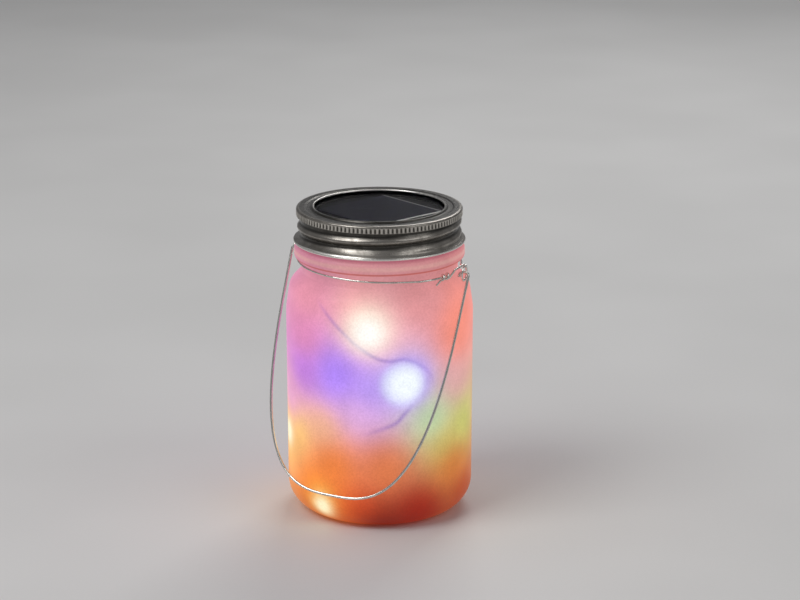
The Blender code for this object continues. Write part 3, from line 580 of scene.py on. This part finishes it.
def solar_silicon():
    """Blue-black cell: fine fingers one way, two busbars the other, and a painted highlight along two of
    its edges.
    """
    look = Look("solar_silicon", Roughness=0.35, Specular_IOR_Level=0.02)
    x, y, _ = look.split(look.place)
    c, s = math.cos(CELL_ANGLE), math.sin(CELL_ANGLE)
    u = look.math("ADD", look.math("MULTIPLY", x, c), look.math("MULTIPLY", y, s))
    v = look.math("SUBTRACT", look.math("MULTIPLY", y, c), look.math("MULTIPLY", x, s))
    finger = look.math("ABSOLUTE", look.math("PINGPONG", v, FINGER_PITCH / 2 * MM))
    fingers = look.range(finger, 0.06 * MM, 0.12 * MM, 1.0, 0.0)
    cloud = look.range(look.noise(6, 3), 0.3, 0.7)
    tone = look.mix(cloud, (0.0025, 0.0025, 0.006), (0.005, 0.005, 0.014))
    tone = look.mix(look.math("MULTIPLY", fingers, 0.5), tone, (0.022, 0.022, 0.045))
    for bar in (-BUSBAR_OUT, BUSBAR_OUT):
        near = look.math("ABSOLUTE", look.math("SUBTRACT", u, bar * MM))
        tone = look.mix(look.range(near, 0.25 * MM, 0.35 * MM, 0.35, 0.0), tone, (0.05, 0.05, 0.07))
    # Painted highlight: a thin bright line along the cell's edge on two sides, fainter on the second.
    for across, shine in ((u, 1.0), (v, 0.4)):
        edge = look.math("SUBTRACT", CELL_SIDE / 2 * MM, across)
        tone = look.mix(look.range(edge, 0.5 * MM, 0.65 * MM, shine, 0.0), tone, (0.9, 0.88, 0.83))
    look.set("Base Color", tone)
    look.bump(fingers, 0.02, 0.6)
    return look.material


def clear_window():
    """Clear cast resin with hairline scratches."""
    look = Look("clear_window", IOR=1.03, Transmission_Weight=1.0, Specular_IOR_Level=0.1)
    sway = look.vector("SCALE", look.join(look.noise(7), look.noise(11), 0.0), scale=2 * MM)
    hair = look.range(look.cells(2.2, place=look.vector("ADD", look.place, sway)), 0.0, 0.03, 1.0, 0.0)
    look.set("Base Color", look.mix(look.noise(8), (0.93, 0.93, 0.95), (1.0, 1.0, 1.0)))
    look.set("Roughness", look.math("MULTIPLY_ADD", hair, 0.12, 0.03))
    look.bump(look.noise(6, 1), 0.01, 0.3)
    return look.material


def circuit_board():
    """Green solder mask over copper tracks."""
    look = Look("board_green", Roughness=0.35)
    track = look.range(look.cells(1.6), 0.02, 0.07, 1.0, 0.0)
    base = look.mix(look.range(look.noise(3), 0.3, 0.7), (0.015, 0.16, 0.05), (0.03, 0.24, 0.09))
    look.set("Base Color", look.mix(track, base, (0.07, 0.36, 0.12)))
    look.bump(track, 0.04, 0.8)
    return look.material


def shrink_sleeve():
    """Plain green sleeve with faint wrinkles and one pale ring."""
    look = Look("battery_wrap", Coat_Weight=0.3)
    x = look.split(look.place)[0]
    off = look.math("ABSOLUTE", look.math("SUBTRACT", x, 9 * MM))
    ring = look.range(off, 1.0 * MM, 1.2 * MM, 1.0, 0.0)
    base = look.mix(look.range(look.noise(4, 3), 0.3, 0.7), (0.03, 0.22, 0.07), (0.05, 0.3, 0.1))
    look.set("Base Color", look.mix(ring, base, (0.7, 0.72, 0.66)))
    look.set("Roughness", look.range(look.noise(2, 2), 0.3, 0.7, 0.25, 0.4))
    look.bump(look.noise(1.5, 2), 0.06, 0.4)
    return look.material


def string_wire():
    """Two lacquered wires twisted together: light and dark bands painted round in a fine screw stand for
    the twist's highlight and shade, and the same bands give its relief.
    """
    look = Look("string_wire", Metallic=0.8)
    sway = look.math("MULTIPLY", look.noise(2), 1.5 * MM)
    height = look.math("ADD", look.split(look.place)[2], sway)
    band = look.math("PINGPONG", height, 0.6 * MM)
    # Painted highlight and shade of the twist, which also drives the bump.
    twist_shine_and_relief = look.range(band, 0.1 * MM, 0.5 * MM)
    look.set("Base Color", look.mix(twist_shine_and_relief, (0.62, 0.6, 0.56), (0.4, 0.38, 0.35)))
    look.set("Roughness", look.range(look.noise(0.6), 0.3, 0.7, 0.25, 0.42))
    look.bump(twist_shine_and_relief, 0.1, 0.6)
    return look.material


def resin(number, tone):
    """A clear drop lit by its chip, its glow mottled by the resin's flow."""
    look = Look(f"light_resin_{number:02d}", IOR=1.5, Emission_Strength=3.0)
    flow = look.noise(0.9, 2)
    pale = tuple(0.5 + 0.5 * c for c in tone)
    look.set("Emission Color", look.mix(look.range(flow, 0.3, 0.7), tone, pale))
    look.set("Base Color", look.mix(look.range(flow, 0.3, 0.7), pale, tone))
    look.set("Roughness", look.range(look.noise(1.5), 0.3, 0.7, 0.08, 0.2))
    look.bump(flow, 0.08, 0.4)
    return look.material


def floor_paper():
    """Matt pale paper with a faint fibre."""
    look = Look("floor_paper")
    fibre = look.noise(1.5, 4)
    cloud = look.noise(180, 2)
    look.set("Base Color", look.mix(look.range(cloud, 0.3, 0.7), (0.66, 0.655, 0.645), (0.7, 0.695, 0.685)))
    look.set("Roughness", look.range(fibre, 0.3, 0.7, 0.6, 0.75))
    look.bump(fibre, 0.05, 0.3)
    return look.material


# ---------------------------------------------------------------- pieces

def settle(piece, body, slot, material, *nodes):
    """Gives a piece its material and body and hides the CAD nodes that it stands for; slot is not used."""
    piece.data.materials.append(material)
    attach(piece, body)
    if nodes:
        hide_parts(*nodes)
    return piece


def make_string():
    """The light string at its real length, with its twelve drops of resin."""
    knots = [around(*knot) for knot in STRING_ROUTE]
    cord = tube("string_cord", smooth_path(knots, 420), STRING_RADIUS, 3)
    settle(cord, "solar_unit", "string_wire", string_wire(), "light_string")
    for number, tone in enumerate(LIGHTS, 1):
        node = f"light_{number:02d}"
        low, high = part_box(node)
        drop = make_drop(f"drop_{number:02d}", (low + high) / 2)
        settle(drop, "solar_unit", f"light_resin_{number:02d}", resin(number, colour(*tone)), node)


def make_drop(name, centre):
    """A pill-shaped drop of resin, longer along the jar than across."""
    outline = [(DROP_RADIUS * math.sin(t) * (1 + 0.08 * math.cos(t)), DROP_RADIUS * 1.15 * math.cos(t))
               for t in np.linspace(0, math.pi, 15)]
    drop = turned(name, np.array(outline), 24)
    drop.location = centre
    return drop


def make_glass():
    """The frosted jar: body, shoulder, wire groove, bead and threaded neck."""
    inner = JAR_RADIUS - GLASS
    middle_of_rim = 31.5
    inside = rounded([(0, FLOOR_Z, 0), (inner - 0.3, FLOOR_Z, 9), (inner, WALL_TOP_Z, WALL_TOP_BEND),
                      (INNER_SHOULDER_RADIUS, INNER_SHOULDER_Z, 6),
                      (INNER_NECK_RADIUS, INNER_NECK_LOW_Z, 2), (INNER_NECK_RADIUS, INNER_NECK_HIGH_Z, 3),
                      (MOUTH_RADIUS, MOUTH_LOW_Z, 3), (MOUTH_RADIUS, RIM_Z, 0.8),
                      (middle_of_rim, RIM_Z, 0)])
    outside = rounded([(middle_of_rim, RIM_Z, 0), (FINISH_RADIUS, RIM_Z, 0.8),
                       (FINISH_RADIUS, BEAD_HIGH_Z + 0.3, 0.7), (BEAD_RADIUS, BEAD_HIGH_Z, 3),
                       (BEAD_RADIUS, BEAD_LOW_Z, 1.5), (NECK_RADIUS, NECK_HIGH_Z, 0.8),
                       (NECK_RADIUS, NECK_LOW_Z, 1.2), (SHOULDER_RADIUS, SHOULDER_Z, 7),
                       (JAR_RADIUS, WALL_TOP_Z, WALL_TOP_BEND), (FOOT_RADIUS, 0, 13), (0, 0, 0)],
                      math.radians(5))
    outline = np.vstack([dense(inside, 6)[:-1], dense(outside, JAR_ROW)])

    def push(angle, r, z):
        rib = thread_bump(angle, z, *JAR_THREAD, 1.8, 1.5)
        return rib * ((r > 32) & (z > BEAD_HIGH_Z + 0.8) & (z < RIM_Z - 0.7))

    jar = turned("frosted_jar", outline, JAR_STEPS, push)
    paint_shadow(jar.data)
    return settle(jar, "jar", "frosted_glass", frosted_glass(), "glass_jar")


def paint_shadow(mesh):
    """Writes how dark the string's shadow is at each point of the glass."""
    places = np.zeros(len(mesh.vertices) * 3)
    mesh.vertices.foreach_get("co", places)
    x, y, z = places.reshape(-1, 3).T / MM
    angle = np.degrees(np.arctan2(y, x))
    dark = np.zeros(len(x))
    arc = math.radians(JAR_RADIUS)
    for strand in SHADOWS:
        for a, height, strength in smooth_path([(p * arc, q, 20 * s) for p, q, s in strand], 160):
            square = (angle * arc - a) ** 2 + (z - height) ** 2
            near = np.where(np.hypot(x, y) > JAR_RADIUS - 6, np.exp(-square / SHADOW_WIDTH ** 2), 0)
            dark = np.maximum(dark, max(0, strength / 20) * near)
    mesh.attributes.new("string_shadow", "FLOAT", "POINT").data.foreach_set("value", dark)


def make_band():
    """The rolled sheet band: curled opening, knurled rim, helical bead and flared edge."""
    corners = [(OPENING_RADIUS + 0.5, BAND_TOP_Z - 0.5, 0), (OPENING_RADIUS, BAND_TOP_Z - 0.3, 0.3),
               (OPENING_RADIUS, BAND_TOP_Z + 0.5, 0.5), (OPENING_RADIUS + 1.1, BAND_TOP_Z + 0.5, 0.5),
               (OPENING_RADIUS + 1.5, BAND_TOP_Z - 0.3, 0.5), (32.3, BAND_TOP_Z - 0.3, 0.5),
               (32.7, BAND_TOP_Z, 0.4), (KNURL_RADIUS, BAND_TOP_Z, 1.0),
               (KNURL_RADIUS, KNURL_LOW_Z, 0.5), (BAND_RADIUS, KNURL_LOW_Z - 0.4, 0.4),
               (BAND_RADIUS, 124.6, 1.5), (FLARE_RADIUS - 0.8, FLARE_Z + 0.9, 0.8),
               (FLARE_RADIUS + 0.05, FLARE_Z + 0.35, 0.4), (FLARE_RADIUS - 0.1, FLARE_Z - 0.35, 0.3),
               (FLARE_RADIUS - 0.8, FLARE_Z - 0.2, 0)]
    outline = dense(rounded(corners, math.radians(18)), 0.6)

    def push(angle, r, z):
        bead = thread_bump(angle, z, *BAND_THREAD, 2.4, 1.4)
        bead = bead * ((z > FLARE_Z + 0.6) & (z < KNURL_LOW_Z - 0.5) & (r > BAND_RADIUS - 1))
        rib = np.abs(np.sin(angle * KNURL_RIBS / 2)) ** 0.8
        fade = np.clip((z - KNURL_LOW_Z) / 0.5, 0, 1) * np.clip((KNURL_HIGH_Z - z) / 0.6, 0, 1)
        return bead - KNURL_DEPTH * (1 - rib) * fade * (r > KNURL_RADIUS - 0.6)

    band = turned("pewter_band", outline, KNURL_RIBS * KNURL_STEPS, push)
    shell = band.modifiers.new("Solidify", "SOLIDIFY")
    shell.thickness = SHEET * 0.8 * MM
    shell.offset = -1
    return settle(band, "band", "band_steel", band_steel(), "screw_band")


def ring_arc(first, last, count, out=0.0):
    """Points along the neck wire's ring between two angles in degrees, in its own plane."""
    return [Vector(around(a, RING_RADIUS + out, 0.0)) for a in np.linspace(first, last, count)]


def eye_points(side, count=28):
    """One coil of the neck wire, turned sideways into an eye that the handle hooks into."""
    rise = 2.6 * NECK_WIRE_RADIUS
    return [Vector((side * (EYE_X + rise * k / count),
                    side * EYE_RADIUS * math.sin(2 * math.pi * k / count),
                    side * EYE_RADIUS * math.cos(2 * math.pi * k / count))) for k in range(count + 1)]


def closure_points():
    """The wire's first end, wound twice round its last stretch beside the +X eye."""
    turns, per_turn = 2, 16
    winding = 2 * NECK_WIRE_RADIUS + 0.15
    points = []
    for k in range(turns * per_turn + 1):
        along = math.radians(CLOSURE_START + (CLOSURE_END - CLOSURE_START) * k / (turns * per_turn))
        turn = 2 * math.pi * k / per_turn - math.pi / 2
        outward = Vector((math.cos(along), math.sin(along), 0.0))
        middle = outward * (RING_RADIUS + CLOSURE_OUT)
        points.append(middle + winding * (outward * math.cos(turn) + Vector((0, 0, math.sin(turn)))))
    return points


def in_frame(points, swing=0.0):
    """Points of the handle axis's own frame, in the row frame."""
    turn = Matrix.Rotation(NECK_TILT, 3, "Y") @ Matrix.Rotation(swing, 3, "X")
    return [tuple(turn @ Vector(p) + Vector((0, 0, NECK_WIRE_Z))) for p in points]


def make_neck_wire():
    """The wire tied round the neck, with an eye at each side."""
    cut_end = closure_points()
    stub = [cut_end[0] + Vector((-1.5, -1.2, -2.2))]
    lead = [Vector((EYE_X - 1.2, -6, EYE_RADIUS - 0.8))]
    path = (stub + cut_end + lead + eye_points(1) + ring_arc(*BACK_ARC, 23) + eye_points(-1)
            + ring_arc(*FRONT_ARC, 18) + ring_arc(*TIED_ARC, 4, CLOSURE_OUT))
    path = dense(np.array([tuple(point) for point in path]), WIRE_STEP)
    wire = tube("neck_tie_wire", smooth_path(in_frame(path), 1500), NECK_WIRE_RADIUS)
    steel = metal("neck_wire_steel", WIRE_TONE, 0.18, 0.4)
    return settle(wire, "jar", "neck_wire_steel", steel, "neck_wire")


def make_handle():
    """The bail: a wide wire loop whose bent-over ends hook into the eyes."""
    half = [(HANDLE_HALF_WIDTH * math.cos(t) ** HANDLE_BOTTOM_POWER,
             -HANDLE_DROP * math.sin(t) ** HANDLE_SIDE_POWER)
            for t in np.linspace(math.pi / 2, math.pi / 44, 160)]
    half.append((HOOK_X, -2.5 * HOOK_BEND))
    for centre_x, first in ((HOOK_X - HOOK_BEND, 0), (HOOK_TAIL_X + HOOK_BEND, 90)):
        for a in range(first, first + 91, 10):
            turn = math.radians(a)
            half.append((centre_x + HOOK_BEND * math.cos(turn), HOOK_BEND * (math.sin(turn) - 1)))
    half.append((HOOK_TAIL_X, -1.7 * HOOK_BEND))
    whole = [(-x, 0.0, z) for x, z in reversed(half[1:])] + [(x, 0.0, z) for x, z in half]
    whole = dense(np.array(whole), WIRE_STEP)
    wire = tube("bail_wire", smooth_path(in_frame(whole, -HANDLE_REST), 900), HANDLE_WIRE_RADIUS)
    steel = metal("handle_steel", WIRE_TONE, 0.16, 0.4)
    return settle(wire, "handle", "handle_steel", steel, "handle_wire")


def make_window():
    """The clear disc over the cell, with a softened rim."""
    outline = rounded([(0, WINDOW_TOP_Z, 0), (WINDOW_RADIUS, WINDOW_TOP_Z, 0.3),
                       (WINDOW_RADIUS, WINDOW_LOW_Z, 0.1), (0, WINDOW_LOW_Z, 0)], math.radians(15))
    disc = turned("clear_disc", dense(outline, 8), 160)
    return settle(disc, "solar_unit", "clear_window", clear_window(), "panel_window")


def finish_cad_nodes():
    """Better materials for the CAD nodes that stay."""
    zinc = metal("screw_steel", (0.56, 0.55, 0.52), 0.32, 0.3)
    brass = metal("contact_brass", (0.72, 0.62, 0.36), 0.3, 0.3)
    black = plastic("lead_black", (0.02, 0.02, 0.022), 0.35, 0.5)
    red = plastic("lead_red", (0.45, 0.02, 0.015), 0.35, 0.5)
    white = plastic("white_plastic", (0.72, 0.72, 0.7), 0.42)
    looks = {
        "solar_cell": solar_silicon(), "lower_housing": white,
        "cell_backing": plastic("cell_backing", (0.005, 0.005, 0.006), 0.5, shine=0.04),
        "lid_tray": plastic("black_plastic", (0.012, 0.012, 0.013), 0.5, shine=0.15),
        "battery_door": plastic("door_plastic", (0.7, 0.7, 0.68), 0.45),
        "sealing_gasket": rubber("gasket_rubber", (0.62, 0.61, 0.58)),
        "cable_grommet": rubber("grommet_rubber", (0.66, 0.66, 0.63)),
        "battery_cell": metal("battery_steel", (0.66, 0.65, 0.62), 0.28),
        "battery_sleeve": shrink_sleeve(), "circuit_board": circuit_board(),
        "driver_chip": plastic("chip_black", (0.015, 0.015, 0.016), 0.5),
        "inductor": plastic("inductor_green", (0.03, 0.12, 0.06), 0.35),
        "capacitor": plastic("capacitor_black", (0.02, 0.02, 0.026), 0.3),
        "switch_body": metal("switch_steel", (0.6, 0.6, 0.58), 0.33),
        "switch_knob": plastic("knob_black", (0.02, 0.02, 0.022), 0.5),
        "contact_plate": brass, "spring_plate": brass, "contact_spring": brass,
        "battery_door_screw": metal("door_screw_steel", (0.56, 0.55, 0.52), 0.34, 0.3),
        "cell_lead_red": red, "battery_lead_red": red, "cell_lead_black": black,
        "battery_lead_black": black, "string_lead": black,
    }
    for number in (1, 2, 3):
        looks[f"housing_screw_{number}"] = zinc
    for name, material in looks.items():
        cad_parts[name].material_slots[0].material = material


# ---------------------------------------------------------------- stage

def make_camera():
    """The photograph's view: from the right of the handle's front, looking down."""
    camera = bpy.data.objects.new("camera", bpy.data.cameras.new("camera"))
    bpy.context.scene.collection.objects.link(camera)
    side = math.radians(CAMERA_SIDE)
    camera.location = (CAMERA_DISTANCE * math.sin(side), -CAMERA_DISTANCE * math.cos(side), CAMERA_HEIGHT)
    camera.rotation_euler = (math.radians(90 - CAMERA_DOWN), 0.0, side - math.radians(CAMERA_TURN))
    camera.data.lens = CAMERA_LENS
    camera.data.sensor_width = 36.0
    bpy.context.scene.camera = camera


def make_lamp(name, azimuth, elevation, distance, size, energy, tint=(1, 1, 1)):
    """A soft square lamp that looks at the jar, placed round it by angles."""
    lamp = bpy.data.objects.new(name, bpy.data.lights.new(name, "AREA"))
    bpy.context.scene.collection.objects.link(lamp)
    lamp.data.size = size
    lamp.data.energy = energy
    lamp.data.color = tint
    a, e = math.radians(azimuth), math.radians(elevation)
    target = Vector((0, 0, 0.07))
    lamp.location = target + distance * Vector((math.cos(a) * math.cos(e), math.sin(a) * math.cos(e),
                                                math.sin(e)))
    lamp.rotation_euler = (target - lamp.location).to_track_quat("-Z", "Y").to_euler()


def make_stage():
    """A plain pale floor, three soft lamps and a dim even sky."""
    side = 6.0
    mesh = bpy.data.meshes.new("studio_floor")
    mesh.from_pydata([(-side, -side, 0), (side, -side, 0), (side, side, 0), (-side, side, 0)], [],
                     [(0, 1, 2, 3)])
    floor = bpy.data.objects.new("studio_floor", mesh)
    bpy.context.scene.collection.objects.link(floor)
    mesh.materials.append(floor_paper())
    make_lamp("key", -120, 50, 1.3, 0.7, 7.0)
    make_lamp("fill", -10, 35, 1.5, 0.9, 3.0)
    make_lamp("back", 100, 40, 1.4, 0.6, 5.0)
    world = bpy.data.worlds.new("studio")
    world.use_nodes = True
    sky = world.node_tree.nodes["Background"]
    sky.inputs["Color"].default_value = (0.8, 0.8, 0.82, 1.0)
    sky.inputs["Strength"].default_value = 0.28
    bpy.context.scene.world = world
    bpy.context.scene.view_settings.view_transform = "Standard"


make_camera()
make_string()
make_glass()
make_band()
make_neck_wire()
make_handle()
make_window()
finish_cad_nodes()
make_stage()
